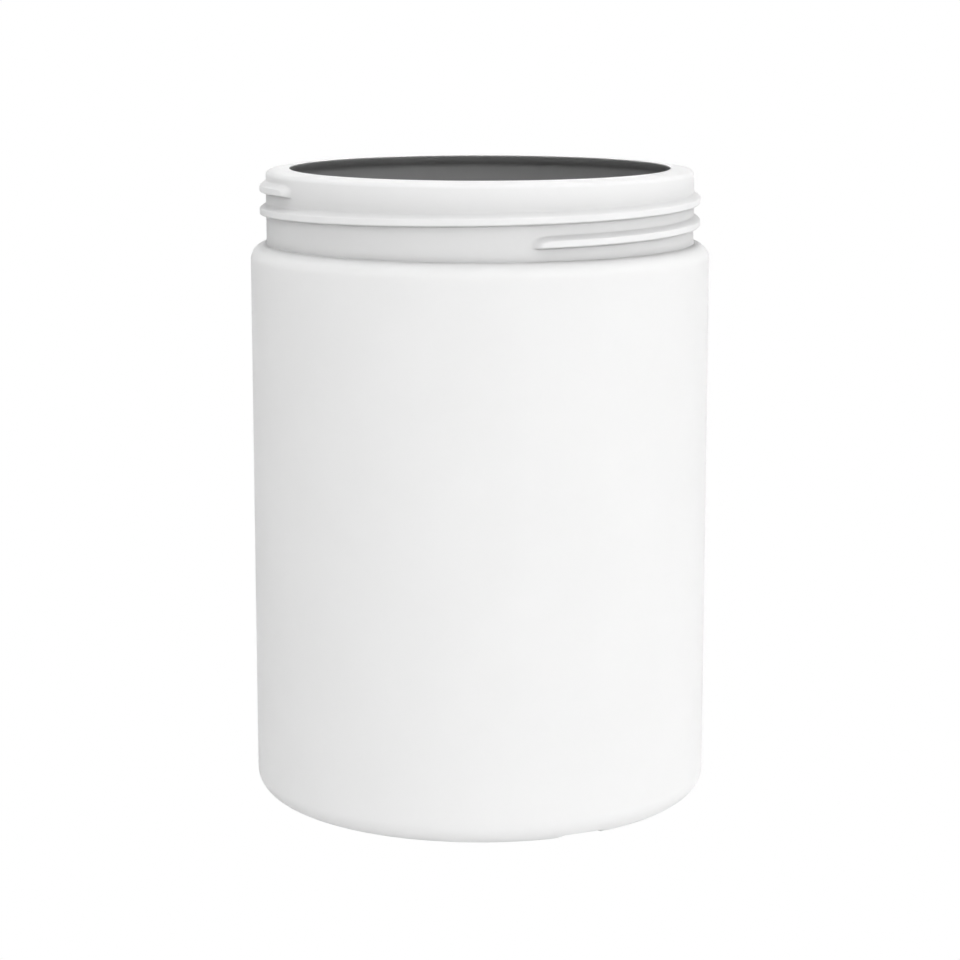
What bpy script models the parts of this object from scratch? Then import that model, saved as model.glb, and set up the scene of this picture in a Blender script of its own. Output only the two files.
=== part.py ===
"""Open wide-mouth plastic drum with a screw neck, in two moulded layers.

The drum is a straight cylinder with rounded heel and shoulder, and a slightly
narrower neck that carries a right-handed external thread for a screw lid.
Its mouth is drawn in to a flat sealing land. The wall has two layers: a white
outer shell, which carries the thread and the base, and a thin dark layer that
lines the whole inside and wraps over the edge of the mouth.

Metres, +Z up. The origin is the centre of the base, -Y is the front.
A depth is measured down from the rim, and an angle from the front towards the right.
"""
import math

import bmesh
import bpy
from mathutils import Vector

MM = 0.001

# Driving dimensions
BODY_RADIUS = 52.0 * MM
HEIGHT = 143.8 * MM
SHELL_WALL = 1.2 * MM
LAYER_GAP = 0.3 * MM
LAYER_WALL = 0.4 * MM

# Facets around the axis, and along an outline's arcs
TURN_SEGMENTS = 72
OUTSIDE_STEPS = 6
INSIDE_STEPS = 4
RIM_STEPS = 4
CREASE_STEPS = 3
FILLET_STEPS = 2

# Body
SHOULDER_RADIUS = 3.6 * MM
SHOULDER_DEPTH = 20.4 * MM
HEEL_RADIUS = 5.0 * MM
SHOULDER_CENTRE = (BODY_RADIUS - SHOULDER_RADIUS, HEIGHT - SHOULDER_DEPTH)
HEEL_CENTRE = (BODY_RADIUS - HEEL_RADIUS, HEEL_RADIUS)

# Base: a standing ring around a raised panel, thicker than the wall
BASE_EXTRA = 1.4 * MM
PANEL_RISE = 1.2 * MM
PANEL_RADIUS = 36.0 * MM
RING_INNER = 38.0 * MM

# Neck and mouth
NECK_RADIUS = 48.4 * MM
MOUTH_RADIUS = 43.0 * MM
LAND_WIDTH = 1.6 * MM
CROWN_RADIUS = 47.5 * MM
CROWN_DROP = 0.5 * MM
RIM_DROP = 1.5 * MM
LIP_EDGE = 0.3 * MM
LIP_SLOPE = math.radians(28.0)
LIP_FILLET = 1.2 * MM
EDGE_STEP = 0.12 * MM
EDGE_RADIUS = MOUTH_RADIUS + LAYER_WALL + LAYER_GAP

# Thread: one right-handed buttress ridge, steep underneath and sloping on top.
# Its depth is that of the crest's lower corner.
THREAD_PITCH = 5.08 * MM
THREAD_HEIGHT = 1.45 * MM
THREAD_CREST_WIDTH = 1.4 * MM
THREAD_UPPER_RUN = 1.05 * MM
THREAD_LOWER_RUN = 0.4 * MM
THREAD_START_ANGLE = 14.0
THREAD_END_ANGLE = 661.0
THREAD_START_DEPTH = 13.85 * MM
THREAD_RUN_IN = 7.0
THREAD_RUN_OUT = 3.0
THREAD_TIP_SCALE = 0.35
THREAD_SINK = 0.5 * MM
FULL_TURN = 360.0

# Registration notch across the edge of the base, to the right of the front
NOTCH_ANGLE = 27.0
NOTCH_WIDTH = 12.0 * MM
NOTCH_DEPTH = 1.3 * MM
NOTCH_INNER = 45.5 * MM
NOTCH_OUTER = 54.0 * MM
NOTCH_SLOPE = 1.6 * MM
NOTCH_BELOW = 1.0 * MM

# Surfaces
SMOOTH_ANGLE = math.radians(32.0)
WHITE = (0.8, 0.8, 0.8)
DARK = (0.36, 0.36, 0.36)
ROUGHNESS = 0.5


def clear_scene():
    for item in list(bpy.data.objects):
        bpy.data.objects.remove(item, do_unlink=True)


def make_material(name, colour):
    material = bpy.data.materials.new(name)
    material.use_nodes = True
    shader = material.node_tree.nodes["Principled BSDF"]
    shader.inputs["Base Color"].default_value = (*colour, 1.0)
    shader.inputs["Roughness"].default_value = ROUGHNESS
    shader.inputs["Metallic"].default_value = 0.0
    return material


def make_object(name, mesh, material=None):
    item = bpy.data.objects.new(name, mesh)
    bpy.context.scene.collection.objects.link(item)
    if material is not None:
        mesh.materials.append(material)
    return item


def arc(centre, radius, start, end, steps):
    """Points (r, z) on an arc, with both of its ends; angles in degrees from +r."""
    points = []
    for step in range(steps + 1):
        angle = math.radians(start + (end - start) * step / steps)
        points.append((centre[0] + radius * math.cos(angle), centre[1] + radius * math.sin(angle)))
    return points


def crease_angle():
    """Angle, seen from the shoulder's centre, of the crease where it meets the neck."""
    across = (NECK_RADIUS - SHOULDER_CENTRE[0]) / SHOULDER_RADIUS
    return math.degrees(math.acos(across))


def crease_point():
    return arc(SHOULDER_CENTRE, SHOULDER_RADIUS, crease_angle(), crease_angle(), 1)[0]


def lip_underside(radius, inset):
    """Height of the lip's conical underside at a radius, for a layer's inside."""
    below = (inset - SHELL_WALL) / math.cos(LIP_SLOPE)
    return HEIGHT - LIP_EDGE - below - (radius - EDGE_RADIUS) * math.tan(LIP_SLOPE)


def inside_line(inset, edge_radius):
    """The inside of a layer, from the lip's edge down to the centre of the floor.

    It keeps the distance inset to the outside everywhere but under the lip,
    which is a cone, and over the floor, which is thicker.
    """
    wall = NECK_RADIUS - inset
    fillet = LIP_FILLET - (inset - SHELL_WALL)
    setback = fillet * math.tan((math.pi / 2.0 - LIP_SLOPE) / 2.0)
    fillet_centre = (wall - fillet, lip_underside(wall, inset) - setback)
    floor_centre = (HEEL_CENTRE[0], HEEL_CENTRE[1] + BASE_EXTRA)
    line = [(edge_radius, lip_underside(edge_radius, inset))]
    line += arc(fillet_centre, fillet, 90.0 - math.degrees(LIP_SLOPE), 0.0, FILLET_STEPS)
    line += arc(crease_point(), inset, 180.0, 180.0 + crease_angle(), CREASE_STEPS)
    line += arc(SHOULDER_CENTRE, SHOULDER_RADIUS - inset, crease_angle(), 0.0, INSIDE_STEPS)[1:]
    line += arc(floor_centre, HEEL_RADIUS - inset, 0.0, -90.0, INSIDE_STEPS)
    line.append((0.0, inset + BASE_EXTRA))
    return line


def outer_profile():
    """Outer shell, from the centre of the underside, up the outside and down the inside."""
    line = [(0.0, PANEL_RISE), (PANEL_RADIUS, PANEL_RISE), (RING_INNER, 0.0)]
    line += arc(HEEL_CENTRE, HEEL_RADIUS, -90.0, 0.0, OUTSIDE_STEPS)
    line += arc(SHOULDER_CENTRE, SHOULDER_RADIUS, 0.0, crease_angle(), OUTSIDE_STEPS)
    line += rim_rounding()
    line += [(EDGE_RADIUS + LAND_WIDTH, HEIGHT), (EDGE_RADIUS, HEIGHT)]
    line += inside_line(SHELL_WALL, EDGE_RADIUS)
    return line


def rim_rounding():
    """Quarter ellipse from the neck wall in to the crown of the rim."""
    across = NECK_RADIUS - CROWN_RADIUS
    drop = RIM_DROP - CROWN_DROP
    points = []
    for step in range(RIM_STEPS + 1):
        angle = math.pi / 2.0 * step / RIM_STEPS
        radius = CROWN_RADIUS + across * math.cos(angle)
        points.append((radius, HEIGHT - RIM_DROP + drop * math.sin(angle)))
    return points


def inner_profile():
    """Inner layer: its outer face from the floor up, over the edge, and its inside down."""
    outside = SHELL_WALL + LAYER_GAP
    back_radius = MOUTH_RADIUS + LAYER_WALL
    top = HEIGHT - EDGE_STEP
    line = list(reversed(inside_line(outside, back_radius)))
    line += [(back_radius, top), (MOUTH_RADIUS, top)]
    line += inside_line(outside + LAYER_WALL, MOUTH_RADIUS)
    return line


def turn_profile(name, profile, material):
    """Revolve an (r, z) outline that starts and ends on the axis into a closed body."""
    mesh = bpy.data.meshes.new(name)
    shape = bmesh.new()
    rings = []
    for radius, height in profile:
        if radius == 0.0:
            rings.append([shape.verts.new((0.0, 0.0, height))])
            continue
        ring = []
        for segment in range(TURN_SEGMENTS):
            angle = math.tau * segment / TURN_SEGMENTS
            ring.append(shape.verts.new((radius * math.cos(angle), radius * math.sin(angle), height)))
        rings.append(ring)
    for lower, upper in zip(rings, rings[1:]):
        for segment in range(TURN_SEGMENTS):
            following = (segment + 1) % TURN_SEGMENTS
            corners = [lower[segment % len(lower)], lower[following % len(lower)],
                       upper[following % len(upper)], upper[segment % len(upper)]]
            shape.faces.new(list(dict.fromkeys(corners)))
    shape.normal_update()
    shape.to_mesh(mesh)
    shape.free()
    mesh.shade_smooth()
    mesh.set_sharp_from_angle(angle=SMOOTH_ANGLE)
    return make_object(name, mesh, material)


def around(angle, radius, height):
    """Point at an angle in degrees from the front, growing towards the right (+X)."""
    turn = math.radians(angle)
    return Vector((radius * math.sin(turn), -radius * math.cos(turn), height))


def thread_scale(angle):
    """Share of the full section at an angle: it swells from each end of the ridge."""
    run_in = min((angle - THREAD_START_ANGLE) / THREAD_RUN_IN, 1.0)
    run_out = min((THREAD_END_ANGLE - angle) / THREAD_RUN_OUT, 1.0)
    swell = math.sin(min(run_in, run_out) * math.pi / 2.0)
    return THREAD_TIP_SCALE + (1.0 - THREAD_TIP_SCALE) * swell


def thread_angles():
    """The two ends and, between them, the angles of the drum's own facets."""
    step = FULL_TURN / TURN_SEGMENTS
    first = math.floor(THREAD_START_ANGLE / step) + 1
    last = math.ceil(THREAD_END_ANGLE / step)
    return [THREAD_START_ANGLE] + [step * index for index in range(first, last)] + [THREAD_END_ANGLE]


def thread_section(angle):
    """Corners of the ridge's section: crest and flanks, which run on into the wall."""
    turns = (angle - THREAD_START_ANGLE) / FULL_TURN
    scale = thread_scale(angle)
    lower = HEIGHT - THREAD_START_DEPTH + THREAD_PITCH * turns
    upper = lower + THREAD_CREST_WIDTH * scale
    run_on = scale + THREAD_SINK / THREAD_HEIGHT
    top = NECK_RADIUS + THREAD_HEIGHT * scale
    sunk = NECK_RADIUS - THREAD_SINK
    return [around(angle, sunk, lower - THREAD_LOWER_RUN * run_on), around(angle, top, lower),
            around(angle, top, upper), around(angle, sunk, upper + THREAD_UPPER_RUN * run_on)]


def make_thread():
    mesh = bpy.data.meshes.new("thread_ridge")
    shape = bmesh.new()
    sections = []
    for angle in thread_angles():
        sections.append([shape.verts.new(point) for point in thread_section(angle)])
    for near, far in zip(sections, sections[1:]):
        for index, corner in enumerate(near):
            after = (index + 1) % len(near)
            shape.faces.new([corner, far[index], far[after], near[after]])
    shape.faces.new(sections[0])
    shape.faces.new(list(reversed(sections[-1])))
    bmesh.ops.recalc_face_normals(shape, faces=shape.faces)
    shape.to_mesh(mesh)
    shape.free()
    return make_object("thread_ridge", mesh)


def make_notch_cutter():
    """Wedge across the edge of the base, steep on its right and sloping on its left."""
    half = NOTCH_WIDTH / 2.0
    spread = NOTCH_SLOPE * (NOTCH_BELOW + NOTCH_DEPTH) / NOTCH_DEPTH
    outline = [(half, -NOTCH_BELOW), (half, NOTCH_DEPTH),
               (NOTCH_SLOPE - half, NOTCH_DEPTH), (NOTCH_SLOPE - half - spread, -NOTCH_BELOW)]
    mesh = bpy.data.meshes.new("notch_cutter")
    shape = bmesh.new()
    inner = [shape.verts.new((across, -NOTCH_INNER, height)) for across, height in outline]
    outer = [shape.verts.new((across, -NOTCH_OUTER, height)) for across, height in outline]
    for index in range(len(outline)):
        after = (index + 1) % len(outline)
        shape.faces.new([inner[index], inner[after], outer[after], outer[index]])
    shape.faces.new(inner)
    shape.faces.new(list(reversed(outer)))
    bmesh.ops.recalc_face_normals(shape, faces=shape.faces)
    shape.to_mesh(mesh)
    shape.free()
    cutter = make_object("notch_cutter", mesh)
    cutter.rotation_euler = (0.0, 0.0, math.radians(NOTCH_ANGLE))
    return cutter


def boolean(target, tool, operation):
    modifier = target.modifiers.new(tool.name, "BOOLEAN")
    modifier.operation = operation
    modifier.solver = "EXACT"
    modifier.object = tool
    tool.hide_render = True
    tool.display_type = "WIRE"


def build():
    clear_scene()
    shell = turn_profile("outer_shell", outer_profile(), make_material("white_polyethylene", WHITE))
    boolean(shell, make_thread(), "UNION")
    boolean(shell, make_notch_cutter(), "DIFFERENCE")
    turn_profile("inner_layer", inner_profile(), make_material("dark_polyethylene", DARK))


build()
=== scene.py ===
"""Looks of the open wide-mouth plastic drum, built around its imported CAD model.

Two turned pieces replace the CAD's faceted ones: the matte white shell with its
screw thread and base notch, and the dark layer that lines the inside. Metres, +Z
up, the base's centre at the origin and the front at -Y. Depths are below the rim.
Angles are in degrees, from the front and growing to the right as seen from there,
where a comment doesn't say otherwise.
"""

import math

import bpy
import numpy as np
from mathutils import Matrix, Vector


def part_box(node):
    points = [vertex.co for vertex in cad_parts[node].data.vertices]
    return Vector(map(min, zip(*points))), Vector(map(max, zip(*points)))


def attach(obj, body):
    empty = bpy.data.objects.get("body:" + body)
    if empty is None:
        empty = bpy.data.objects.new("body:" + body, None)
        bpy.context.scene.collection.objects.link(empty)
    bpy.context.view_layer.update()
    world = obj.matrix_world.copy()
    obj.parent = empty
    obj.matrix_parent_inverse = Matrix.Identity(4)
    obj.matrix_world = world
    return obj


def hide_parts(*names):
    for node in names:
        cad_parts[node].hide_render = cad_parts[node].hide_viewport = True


MM = 0.001
FULL_TURN = 360.0

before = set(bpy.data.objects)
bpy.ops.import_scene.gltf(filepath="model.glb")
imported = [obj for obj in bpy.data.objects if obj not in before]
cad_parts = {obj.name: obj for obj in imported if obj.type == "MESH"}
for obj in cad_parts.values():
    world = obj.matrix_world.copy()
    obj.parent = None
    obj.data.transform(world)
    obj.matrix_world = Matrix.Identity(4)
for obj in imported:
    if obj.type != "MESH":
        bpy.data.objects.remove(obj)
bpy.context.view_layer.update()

# From the frame
SHELL_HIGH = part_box("outer_shell")[1]
BODY_RADIUS = float(SHELL_HIGH[0])
HEIGHT = float(SHELL_HIGH[2])

# Wall, and the floor's extra height over it
SHELL_WALL = 1.2 * MM
LAYER_GAP = 0.04 * MM
LAYER_WALL = 0.2 * MM
BASE_EXTRA = 1.4 * MM

# Body
SHOULDER_RADIUS = 3.6 * MM
SHOULDER_DEPTH = 20.4 * MM
HEEL_RADIUS = 5.0 * MM
SHOULDER_CENTRE = (BODY_RADIUS - SHOULDER_RADIUS, HEIGHT - SHOULDER_DEPTH)
HEEL_CENTRE = (BODY_RADIUS - HEEL_RADIUS, HEEL_RADIUS)

# Base: raised panel inside a standing ring, with the gate's mark in its middle
PANEL_RISE = 1.2 * MM
PANEL_RADIUS = 36.0 * MM
RING_INNER = 38.0 * MM
PANEL_FILLET = 0.8 * MM
GATE_RADIUS = 2.2 * MM
GATE_DROP = 0.35 * MM
GATE_ARC = (-90.0, -60.0)
GATE_FLARE = 1.2 * GATE_RADIUS

# Neck and mouth
NECK_RADIUS = 48.4 * MM
CREASE_FILLET = 0.2 * MM
MOUTH_RADIUS = 43.0 * MM
LAND_WIDTH = 2.0 * MM
RIM_RADIUS = 1.1 * MM
CROWN_DROP = 0.35 * MM
LIP_EDGE = 0.12 * MM
LIP_SLOPE = math.radians(28.0)
LIP_FILLET = 1.4 * MM

# Dark layer's edge at the mouth: how far its back is from its front, and its bevelled top
EDGE_RETURN = 0.06 * MM
LAYER_DROP = 0.02 * MM
LAYER_CROWN = 0.015 * MM
LAYER_BEVEL = 0.03 * MM

# Thread: a ridge with a steep underside and a sloping top, between two angles
THREAD_PITCH = 5.08 * MM
THREAD_HEIGHT = 1.45 * MM
THREAD_CREST = 1.4 * MM
THREAD_UPPER_RUN = 1.05 * MM
THREAD_LOWER_RUN = 0.4 * MM
THREAD_LOWER_ROUND = 0.4 * MM
THREAD_UPPER_ROUND = 0.3 * MM
THREAD_LOWER_ROOT = 0.04 * MM
THREAD_UPPER_ROOT = 0.5 * MM
THREAD_START = 13.5
THREAD_END = 661.5
THREAD_START_DEPTH = 13.85 * MM
THREAD_TURNS = (-1, 0, 1, 2)

# Rounded ends of the thread: each nose's length along the underside and along the top, and the
# crest's share of the way from the ridge's middle to its edge
START_NOSE = (1.3 * MM, 4.6 * MM)
END_NOSE = (0.8 * MM, 4.6 * MM)
NOSE_POWER = 2.4
NOSE_SOFTNESS = 0.1
CREST_SHARE = 0.4

# Painted shade on the neck's wall, darker between the thread's turns: how far below the rim's rounding
# it has fully faded in, and the tone factor it brings the white to
NECK_SHADE_FADE = 4.0 * MM
NECK_SHADE_TONE = 0.9
HORIZONTAL = (1.0, 1.0, 0.0)

# Registration notch in the base
NOTCH_ANGLE = 26.3
NOTCH_WIDTH = 11.6 * MM
NOTCH_DEPTH = 1.3 * MM
NOTCH_INNER = 45.5 * MM
NOTCH_LEFT_SLOPE = 1.6 * MM
NOTCH_RIGHT_SLOPE = 0.4 * MM
NOTCH_SOFTNESS = 0.15

# Plastics: each noise as (scale, detail, roughness), each plastic as (tone, its spread, roughness)
NOISE_RANGE = (0.3, 0.7)
MOTTLE = (60.0, 3.0, 0.5)
SHEEN = (140.0, 4.0, 0.6)
SHEEN_SPREAD = 0.05
GRAIN = (2600.0, 2.0, 0.5)
GRAIN_STRENGTH = 0.25
GRAIN_DEPTH = 0.02 * MM
PLASTIC_IOR = 1.5
PLASTIC_SPECULAR = 0.4
WHITE_PLASTIC = (0.80, 0.006, 0.5)
DARK_PLASTIC = (0.31, 0.01, 0.55)

# Studio: a dome of soft lamps in rings of (elevation, number of lamps, strength, lean). A ring is
# stronger towards DOME_TOWARDS by its lean, or weaker where that is negative.
DOME = (
    (67.5, 4, 0.525, -0.25),
    (22.5, 8, 0.543, 0.33),
    (-22.5, 8, 0.507, 0.38),
    (-67.5, 4, 0.22, 0.38),
)
DOME_TOWARDS = 48.0
LAMP_SPREAD = math.radians(50.0)
FLOOR_RADIUS = 12.0
FLOOR_DROP = -0.4 * MM
FLAG_RADIUS = 48.0 * MM
FLAG_DROP = -0.3 * MM
PAPER_WHITE = (1.0, 1.0, 1.0, 1.0)

# Camera: distance and level in body radii, pitch downwards, lens and sensor in millimetres
CAMERA_DISTANCE = 11.864
CAMERA_LEVEL = 3.547
CAMERA_PITCH = 10.346
CAMERA_LENS = 101.74
CAMERA_SENSOR = 36.0

# Fineness of the meshes: steps round an axis, and along the stretches and rounds of an outline
COLUMNS = 480
DISC_SIDES = 96
NECK_STEP = 0.05 * MM
SMALL_ROUND = 6
GATE_FLARE_STEPS = 2
PANEL_STEPS = 6
RING_STEPS = 24
HEEL_STEPS = 44
BODY_STEPS = 24
SHOULDER_STEPS = 26
CREASE_STEPS = 5
RIM_STEPS = 16
CROWN_STEPS = 6
LAND_STEPS = 5
INNER_LIP_STEPS = 8
INNER_NECK_STEPS = 12
INNER_CREASE_STEPS = 8
INNER_SHOULDER_STEPS = 10
INNER_BODY_STEPS = 16
INNER_HEEL_STEPS = 12
INNER_FLOOR_STEPS = 8

# A row this close to the neck's radius is on its wall
SAME_RADIUS = 0.01 * MM


def lines(start, end, count):
    """Points (r, z) along a straight stretch, without its first one."""
    return [(start[0] + (end[0] - start[0]) * step / count,
             start[1] + (end[1] - start[1]) * step / count) for step in range(1, count + 1)]


def arc(centre, radius, start, end, count):
    """Points (r, z) on an arc, with both of its ends; angles in degrees from +r."""
    points = []
    for step in range(count + 1):
        angle = math.radians(start + (end - start) * step / count)
        points.append((centre[0] + radius * math.cos(angle), centre[1] + radius * math.sin(angle)))
    return points


def fillet(before, corner, after, radius, count):
    """Arc that rounds a corner between two straight stretches."""
    back = np.subtract(before, corner)
    ahead = np.subtract(after, corner)
    back = back / np.linalg.norm(back)
    ahead = ahead / np.linalg.norm(ahead)
    half = math.acos(float(np.clip(back @ ahead, -1.0, 1.0))) / 2.0
    middle = (back + ahead) / np.linalg.norm(back + ahead)
    centre = np.add(corner, middle * radius / math.sin(half))
    reach = radius / math.tan(half)
    first = np.add(corner, back * reach) - centre
    last = np.add(corner, ahead * reach) - centre
    begin = math.atan2(first[1], first[0])
    turn = (math.atan2(last[1], last[0]) - begin + math.pi) % math.tau - math.pi
    return [(float(centre[0] + radius * math.cos(begin + turn * step / count)),
             float(centre[1] + radius * math.sin(begin + turn * step / count)))
            for step in range(count + 1)]


def crease_angle():
    """Angle, seen from the shoulder's centre, of the crease where it meets the neck."""
    return math.degrees(math.acos((NECK_RADIUS - SHOULDER_CENTRE[0]) / SHOULDER_RADIUS))


def crease_point():
    """Where the shoulder meets the neck, before the crease is rounded."""
    return arc(SHOULDER_CENTRE, SHOULDER_RADIUS, crease_angle(), crease_angle(), 1)[0]


def shell_edge_radius():
    """Radius of the white shell's inner edge, at the mouth."""
    return MOUTH_RADIUS + EDGE_RETURN + LAYER_GAP


def lip_underside(radius, inset):
    """Height of the lip's conical underside at a radius, for a layer's inside."""
    below = (inset - SHELL_WALL) / math.cos(LIP_SLOPE)
    return HEIGHT - LIP_EDGE - below - (radius - shell_edge_radius()) * math.tan(LIP_SLOPE)


def inside_line(inset, edge_radius):
    """The inside of a layer, from the lip's edge down to the centre of the floor."""
    wall = NECK_RADIUS - inset
    edge = (edge_radius, lip_underside(edge_radius, inset))
    corner = (wall, lip_underside(wall, inset))
    lip_round = LIP_FILLET - (inset - SHELL_WALL)
    crease = arc(crease_point(), inset, 180.0, 180.0 + crease_angle(), INNER_CREASE_STEPS)
    shoulder = arc(SHOULDER_CENTRE, SHOULDER_RADIUS - inset, crease_angle(), 0.0, INNER_SHOULDER_STEPS)
    heel_centre = (HEEL_CENTRE[0], HEEL_RADIUS + BASE_EXTRA)
    heel = arc(heel_centre, HEEL_RADIUS - inset, 0.0, -90.0, INNER_HEEL_STEPS)
    rows = [edge]
    rows += fillet(edge, corner, crease[0], lip_round, INNER_LIP_STEPS)
    rows += lines(rows[-1], crease[0], INNER_NECK_STEPS)
    rows += crease[1:] + shoulder[1:]
    rows += lines(rows[-1], heel[0], INNER_BODY_STEPS)
    rows += heel[1:]
    rows += lines(heel[-1], (0.0, inset + BASE_EXTRA), INNER_FLOOR_STEPS)
    return rows


def base_rows():
    """From under the base's centre: gate mark, raised panel and flat standing ring."""
    panel = (PANEL_RADIUS, PANEL_RISE)
    ring = (RING_INNER, 0.0)
    low_gate = PANEL_RISE - GATE_DROP
    inner_round = fillet((0.0, PANEL_RISE), panel, ring, PANEL_FILLET, SMALL_ROUND)
    outer_round = fillet(panel, ring, (HEEL_CENTRE[0], 0.0), PANEL_FILLET, SMALL_ROUND)
    rows = [(0.0, low_gate)]
    rows += arc((0.0, low_gate + GATE_RADIUS), GATE_RADIUS, *GATE_ARC, SMALL_ROUND)[1:]
    rows += lines(rows[-1], (GATE_FLARE, PANEL_RISE), GATE_FLARE_STEPS)
    rows += lines(rows[-1], inner_round[0], PANEL_STEPS)
    rows += inner_round[1:] + outer_round
    rows += lines(rows[-1], (HEEL_CENTRE[0], 0.0), RING_STEPS)
    return rows


def body_rows():
    """Heel, straight wall, shoulder and the crease at the foot of the neck."""
    rows = arc(HEEL_CENTRE, HEEL_RADIUS, -90.0, 0.0, HEEL_STEPS)[1:]
    shoulder = arc(SHOULDER_CENTRE, SHOULDER_RADIUS, 0.0, crease_angle(), SHOULDER_STEPS)
    rows += lines(rows[-1], shoulder[0], BODY_STEPS)
    rows += shoulder[1:-1]
    rows += fillet(shoulder[-2], shoulder[-1], (NECK_RADIUS, HEIGHT), CREASE_FILLET, CREASE_STEPS)
    return rows


def neck_rows(foot):
    """Fine rows on the threaded wall, up to where the rim's rounding starts."""
    top = rim_foot()
    return lines((NECK_RADIUS, foot), (NECK_RADIUS, top), round((top - foot) / NECK_STEP))


def rim_foot():
    """Height where the neck's wall ends and the rounding of the rim starts."""
    return HEIGHT - CROWN_DROP - RIM_RADIUS


def rim_rows():
    """Rounding, slightly falling crown and flat land, up to the shell's inner edge."""
    centre = (NECK_RADIUS - RIM_RADIUS, rim_foot())
    land = (shell_edge_radius() + LAND_WIDTH, HEIGHT)
    inner = (shell_edge_radius(), HEIGHT)
    fall = math.degrees(math.atan2(CROWN_DROP, centre[0] - land[0]))
    rows = arc(centre, RIM_RADIUS, 0.0, 90.0 - fall, RIM_STEPS)[1:]
    rows += lines(rows[-1], land, CROWN_STEPS)
    rows += lines(land, inner, LAND_STEPS)
    return rows


def outside_line():
    """The outside of the white shell, from under the base's centre up to the mouth."""
    rows = base_rows() + body_rows()
    return rows + neck_rows(rows[-1][1]) + rim_rows()


def shell_outline():
    """The white shell, up its outside and down its inside."""
    return outside_line() + inside_line(SHELL_WALL, shell_edge_radius())


def layer_outline():
    """The dark layer: its outer face up from the floor, over the edge, and its inside down."""
    back = MOUTH_RADIUS + EDGE_RETURN
    top = HEIGHT - LAYER_DROP
    crown = top + LAYER_CROWN
    rows = inside_line(SHELL_WALL + LAYER_GAP, back)[::-1]
    rows += [(back, top), (back - LAYER_BEVEL, crown)]
    rows += [(MOUTH_RADIUS + LAYER_BEVEL, crown), (MOUTH_RADIUS, top - LAYER_BEVEL)]
    rows += inside_line(SHELL_WALL + LAYER_GAP + LAYER_WALL, MOUTH_RADIUS)
    return rows


def soft_clamp(value, softness):
    """Clamps to 0..1 with rounded corners."""
    low = np.where(value < -softness, 0.0, (value + softness) ** 2 / (4.0 * softness))
    high = np.where(value > 1.0 + softness, 1.0, 1.0 - (1.0 + softness - value) ** 2 / (4.0 * softness))
    return np.where(value < softness, low, np.where(value > 1.0 - softness, high, value))


def smooth_step(value):
    """Clamps to 0..1 and eases both ends."""
    value = np.clip(value, 0.0, 1.0)
    return value * value * (3.0 - 2.0 * value)


def nose(across, from_tip, lengths):
    """Share of the way to a ridge end's outline: 0 on the ridge's spine, 1 on the outline."""
    low, high = lengths
    length = low + (high - low) * smooth_step((across + 1.0) / 2.0)
    beyond = np.clip((length - from_tip) / length, 0.0, None)
    return (np.abs(across) ** NOSE_POWER + beyond ** NOSE_POWER) ** (1.0 / NOSE_POWER)


def thread_section():
    """The ridge's section as (height, relief): steep underside, flat crest, sloping upper flank.

    Heights are from the crest's lower corner, and every corner is rounded.
    """
    corners = [(-2.0 * THREAD_LOWER_RUN, 0.0), (-THREAD_LOWER_RUN, 0.0), (0.0, THREAD_HEIGHT),
               (THREAD_CREST, THREAD_HEIGHT), (THREAD_CREST + THREAD_UPPER_RUN, 0.0),
               (THREAD_CREST + 2.0 * THREAD_UPPER_RUN, 0.0)]
    rounds = (THREAD_LOWER_ROOT, THREAD_LOWER_ROUND, THREAD_UPPER_ROUND, THREAD_UPPER_ROOT)
    points = []
    for index, radius in enumerate(rounds):
        points += fillet(*corners[index:index + 3], radius, SMALL_ROUND)
    return np.array(points)


def thread_relief(angle, height):
    """How far the thread stands out of the neck's wall."""
    section = thread_section()
    middle = THREAD_CREST / 2.0
    arc_length = math.radians(1.0) * NECK_RADIUS
    relief = np.zeros(np.broadcast(angle, height).shape)
    for turn in THREAD_TURNS:
        along = angle + FULL_TURN * turn
        corner = HEIGHT - THREAD_START_DEPTH + THREAD_PITCH * (along - THREAD_START) / FULL_TURN
        above = height - corner
        rise = np.interp(above, section[:, 0], section[:, 1]) / THREAD_HEIGHT
        on_crest = np.clip((above - middle) / middle, -1.0, 1.0) * CREST_SHARE
        across = on_crest + np.sign(above - middle) * (1.0 - CREST_SHARE) * (1.0 - rise)
        near_start = nose(across, (along - THREAD_START) * arc_length, START_NOSE)
        near_end = nose(across, (THREAD_END - along) * arc_length, END_NOSE)
        share = np.maximum(near_start, near_end)
        ends = soft_clamp((1.0 - share) / (1.0 - CREST_SHARE), NOSE_SOFTNESS)
        relief = np.maximum(relief, THREAD_HEIGHT * np.minimum(rise, ends))
    return relief


def notch_relief(angle, radius, height):
    """How far the base's edge is raised by the registration notch."""
    across = np.radians(angle - NOTCH_ANGLE) * radius
    half = NOTCH_WIDTH / 2.0
    left = (across + half) / NOTCH_LEFT_SLOPE
    right = (half - across) / NOTCH_RIGHT_SLOPE
    inward = (radius - NOTCH_INNER) / NOTCH_RIGHT_SLOPE
    depth = NOTCH_DEPTH * soft_clamp(np.minimum(np.minimum(left, right), inward), NOTCH_SOFTNESS)
    return np.clip(depth - height, 0.0, None)


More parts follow.
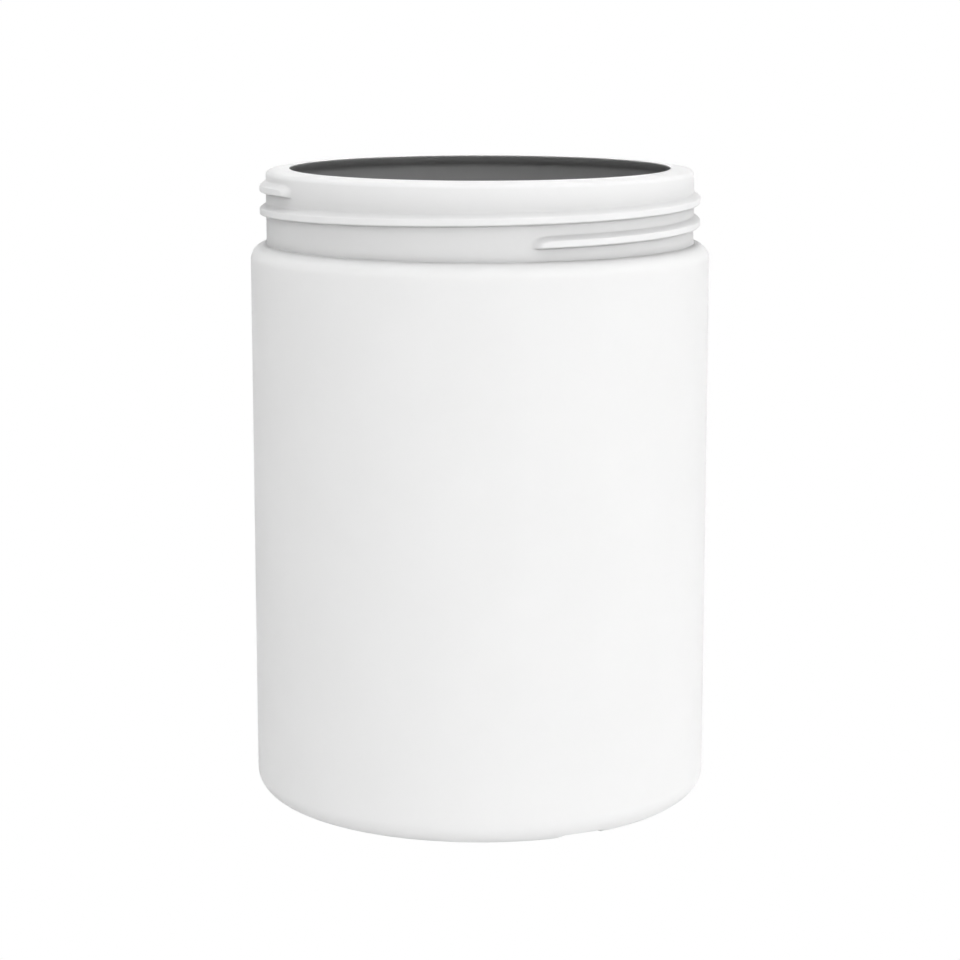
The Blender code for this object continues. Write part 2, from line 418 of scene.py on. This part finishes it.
def turned_mesh(name, outline, columns, relief=None):
    """Revolves an (r, z) outline that starts and ends on the axis; relief moves its points."""
    rows = np.array(outline)
    inner = rows[1:-1]
    angles = np.arange(columns) * FULL_TURN / columns
    radius = np.repeat(inner[:, :1], columns, axis=1)
    height = np.repeat(inner[:, 1:], columns, axis=1)
    if relief is not None:
        radius, height = relief(angles[None, :], radius, height)
    turn = np.radians(angles)[None, :]
    points = np.stack([radius * np.sin(turn), -radius * np.cos(turn), height], axis=-1)
    count = len(inner)
    vertices = [(0.0, 0.0, float(rows[0][1]))] + points.reshape(-1, 3).tolist()
    vertices.append((0.0, 0.0, float(rows[-1][1])))
    last = len(vertices) - 1
    faces = []
    for column in range(columns):
        after = (column + 1) % columns
        faces.append((0, 1 + after, 1 + column))
        for row in range(count - 1):
            low = 1 + row * columns
            high = low + columns
            faces.append((low + column, low + after, high + after, high + column))
        top = 1 + (count - 1) * columns
        faces.append((top + column, top + after, last))
    mesh = bpy.data.meshes.new(name)
    mesh.from_pydata(vertices, [], faces)
    mesh.shade_smooth()
    piece = bpy.data.objects.new(name, mesh)
    bpy.context.scene.collection.objects.link(piece)
    return piece


def shell_relief(angle, radius, height):
    """Thread on the neck's outside, notch under the base's outside edge."""
    rows = radius[:, :1]
    levels = height[:, :1]
    outside = np.arange(len(rows))[:, None] < len(outside_line()) - 1
    neck = outside & (np.abs(rows - NECK_RADIUS) < SAME_RADIUS) & (levels > HEIGHT / 2.0)
    base = outside & (levels < 2.0 * NOTCH_DEPTH)
    radius = radius + np.where(neck, thread_relief(angle, levels), 0.0)
    height = height + np.where(base, notch_relief(angle, rows, levels), 0.0)
    return radius, height


def new_material(name):
    """An empty node material, with its nodes and links."""
    material = bpy.data.materials.new(name)
    material.use_nodes = True
    return material, material.node_tree.nodes, material.node_tree.links


def noise(nodes, links, coordinates, look):
    """Noise over the object, with a look of (scale, detail, roughness)."""
    scale, detail, roughness = look
    node = nodes.new("ShaderNodeTexNoise")
    node.inputs["Scale"].default_value = scale
    node.inputs["Detail"].default_value = detail
    node.inputs["Roughness"].default_value = roughness
    links.new(coordinates, node.inputs["Vector"])
    return node.outputs["Fac"]


def spread(nodes, links, value, middle, reach):
    """Maps a noise value from its usual range onto as much as reach on both sides of middle."""
    node = nodes.new("ShaderNodeMapRange")
    node.inputs["From Min"].default_value = NOISE_RANGE[0]
    node.inputs["From Max"].default_value = NOISE_RANGE[1]
    node.inputs["To Min"].default_value = middle - reach
    node.inputs["To Max"].default_value = middle + reach
    links.new(value, node.inputs["Value"])
    return node.outputs["Result"]


def ramp(nodes, links, value, start, end):
    """Rises from 0 to 1 as a value goes from start to end."""
    node = nodes.new("ShaderNodeMapRange")
    node.inputs["From Min"].default_value = start
    node.inputs["From Max"].default_value = end
    links.new(value, node.inputs["Value"])
    return node.outputs["Result"]


def multiply(nodes, links, first, second):
    """Product of two values."""
    node = nodes.new("ShaderNodeMath")
    node.operation = "MULTIPLY"
    links.new(first, node.inputs[0])
    links.new(second, node.inputs[1])
    return node.outputs["Value"]


def painted_neck_shade(nodes, links, place):
    """Factor on the shell's tone: painted shade on the neck's wall, darkest between the thread's turns
    and fading out onto its crests, the shoulder and the rim.
    """
    flat = nodes.new("ShaderNodeVectorMath")
    flat.operation = "MULTIPLY"
    flat.inputs[1].default_value = HORIZONTAL
    links.new(place, flat.inputs[0])
    reach = nodes.new("ShaderNodeVectorMath")
    reach.operation = "LENGTH"
    links.new(flat.outputs["Vector"], reach.inputs[0])
    split = nodes.new("ShaderNodeSeparateXYZ")
    links.new(place, split.inputs["Vector"])
    level = split.outputs["Z"]
    # Painted shade: full on the neck's wall, none on the thread's crests
    on_wall = ramp(nodes, links, reach.outputs["Value"], NECK_RADIUS + THREAD_HEIGHT, NECK_RADIUS)
    above = ramp(nodes, links, level, SHOULDER_CENTRE[1], SHOULDER_CENTRE[1] + SHOULDER_RADIUS)
    below = ramp(nodes, links, level, rim_foot(), rim_foot() - NECK_SHADE_FADE)
    share = multiply(nodes, links, on_wall, multiply(nodes, links, above, below))
    factor = nodes.new("ShaderNodeMapRange")
    factor.inputs["To Min"].default_value = 1.0
    factor.inputs["To Max"].default_value = NECK_SHADE_TONE
    links.new(share, factor.inputs["Value"])
    return factor.outputs["Result"]


def plastic(name, look, shading=None):
    """Moulded polyethylene: slight mottling, uneven sheen and a fine moulded grain, with painted shade
    where a shading factor is given.
    """
    shade, shade_spread, roughness = look
    material, nodes, links = new_material(name)
    shader = nodes["Principled BSDF"]
    place = nodes.new("ShaderNodeTexCoord").outputs["Object"]
    tone = spread(nodes, links, noise(nodes, links, place, MOTTLE), shade, shade_spread)
    # Painted shade multiplies the tone where a shading factor is given
    if shading is not None:
        tone = multiply(nodes, links, tone, shading(nodes, links, place))
    colour = nodes.new("ShaderNodeCombineColor")
    for channel in ("Red", "Green", "Blue"):
        links.new(tone, colour.inputs[channel])
    links.new(colour.outputs["Color"], shader.inputs["Base Color"])
    sheen = spread(nodes, links, noise(nodes, links, place, SHEEN), roughness, SHEEN_SPREAD)
    links.new(sheen, shader.inputs["Roughness"])
    bump = nodes.new("ShaderNodeBump")
    bump.inputs["Strength"].default_value = GRAIN_STRENGTH
    bump.inputs["Distance"].default_value = GRAIN_DEPTH
    links.new(noise(nodes, links, place, GRAIN), bump.inputs["Height"])
    links.new(bump.outputs["Normal"], shader.inputs["Normal"])
    shader.inputs["IOR"].default_value = PLASTIC_IOR
    shader.inputs["Specular IOR Level"].default_value = PLASTIC_SPECULAR
    return material


def make_shell():
    """The white shell. It casts shadows, but bounces no light onto itself or the dark layer."""
    piece = turned_mesh("drum_shell", shell_outline(), COLUMNS, shell_relief)
    # The white tone carries the neck's painted shade
    piece.data.materials.append(plastic("white_polyethylene", WHITE_PLASTIC, painted_neck_shade))
    piece.visible_diffuse = False
    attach(piece, "root")
    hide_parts("outer_shell")


def make_layer():
    """The dark layer that lines the shell."""
    piece = turned_mesh("dark_inner_layer", layer_outline(), COLUMNS // 2)
    piece.data.materials.append(plastic("dark_polyethylene", DARK_PLASTIC))
    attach(piece, "root")
    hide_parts("inner_layer")


def make_disc(name, radius, height):
    """A flat round disc round the drum's axis."""
    angles = [math.tau * side / DISC_SIDES for side in range(DISC_SIDES)]
    corners = [(radius * math.cos(angle), radius * math.sin(angle), 0.0) for angle in angles]
    mesh = bpy.data.meshes.new(name)
    mesh.from_pydata(corners, [], [tuple(range(DISC_SIDES))])
    disc = bpy.data.objects.new(name, mesh)
    disc.location.z = height
    bpy.context.scene.collection.objects.link(disc)
    return disc


def make_floor():
    """A wide white floor that glows evenly and lets the lamps below it shine through."""
    floor = make_disc("floor", FLOOR_RADIUS, FLOOR_DROP)
    floor.visible_diffuse = False
    floor.visible_glossy = False
    floor.visible_shadow = False
    material, nodes, links = new_material("glowing_floor")
    glow = nodes.new("ShaderNodeEmission")
    glow.inputs["Color"].default_value = PAPER_WHITE
    glow.inputs["Strength"].default_value = 1.0
    links.new(glow.outputs["Emission"], nodes["Material Output"].inputs["Surface"])
    floor.data.materials.append(material)


def make_flag():
    """A round flag just under the base. It isn't seen, and shades the heel from the lamps below."""
    flag = make_disc("flag", FLAG_RADIUS, FLAG_DROP)
    flag.visible_camera = False
    flag.visible_diffuse = False
    flag.visible_glossy = False


def sun_lamp(azimuth, elevation, strength):
    """Very soft lamp, far away. It is only sampled directly, so that none leaks through the shell."""
    light = bpy.data.lights.new("dome_lamp", "SUN")
    light.angle = LAMP_SPREAD
    light.energy = strength
    light.cycles.use_multiple_importance_sampling = False
    lamp = bpy.data.objects.new("dome_lamp", light)
    lamp.rotation_euler = (math.radians(90.0 - elevation), 0.0, math.radians(azimuth))
    bpy.context.scene.collection.objects.link(lamp)


def make_lights():
    """Rings of evenly spaced lamps all round the drum, each stronger on the side it leans to."""
    for elevation, count, strength, lean in DOME:
        for index in range(count):
            azimuth = (index + 0.5) * FULL_TURN / count - FULL_TURN / 2.0
            share = 1.0 + lean * math.cos(math.radians(azimuth - DOME_TOWARDS))
            sun_lamp(azimuth, elevation, strength * share)


def make_world():
    """White behind the drum, and dark for everything but the camera: the lamps do the lighting."""
    world = bpy.data.worlds.new("studio")
    world.use_nodes = True
    nodes = world.node_tree.nodes
    path = nodes.new("ShaderNodeLightPath")
    back = nodes["Background"]
    back.inputs["Color"].default_value = PAPER_WHITE
    world.node_tree.links.new(path.outputs["Is Camera Ray"], back.inputs["Strength"])
    bpy.context.scene.world = world


def make_camera():
    """Long lens, slightly above the rim, aimed at the middle of the drum."""
    camera = bpy.data.objects.new("camera", bpy.data.cameras.new("camera"))
    camera.data.sensor_width = CAMERA_SENSOR
    camera.data.lens = CAMERA_LENS
    camera.location = (0.0, -CAMERA_DISTANCE * BODY_RADIUS, CAMERA_LEVEL * BODY_RADIUS)
    camera.rotation_euler = (math.radians(90.0 - CAMERA_PITCH), 0.0, 0.0)
    bpy.context.scene.collection.objects.link(camera)
    bpy.context.scene.camera = camera


def main():
    make_camera()
    make_shell()
    make_layer()
    make_floor()
    make_flag()
    make_lights()
    make_world()
    bpy.context.scene.view_settings.view_transform = "Standard"


main()
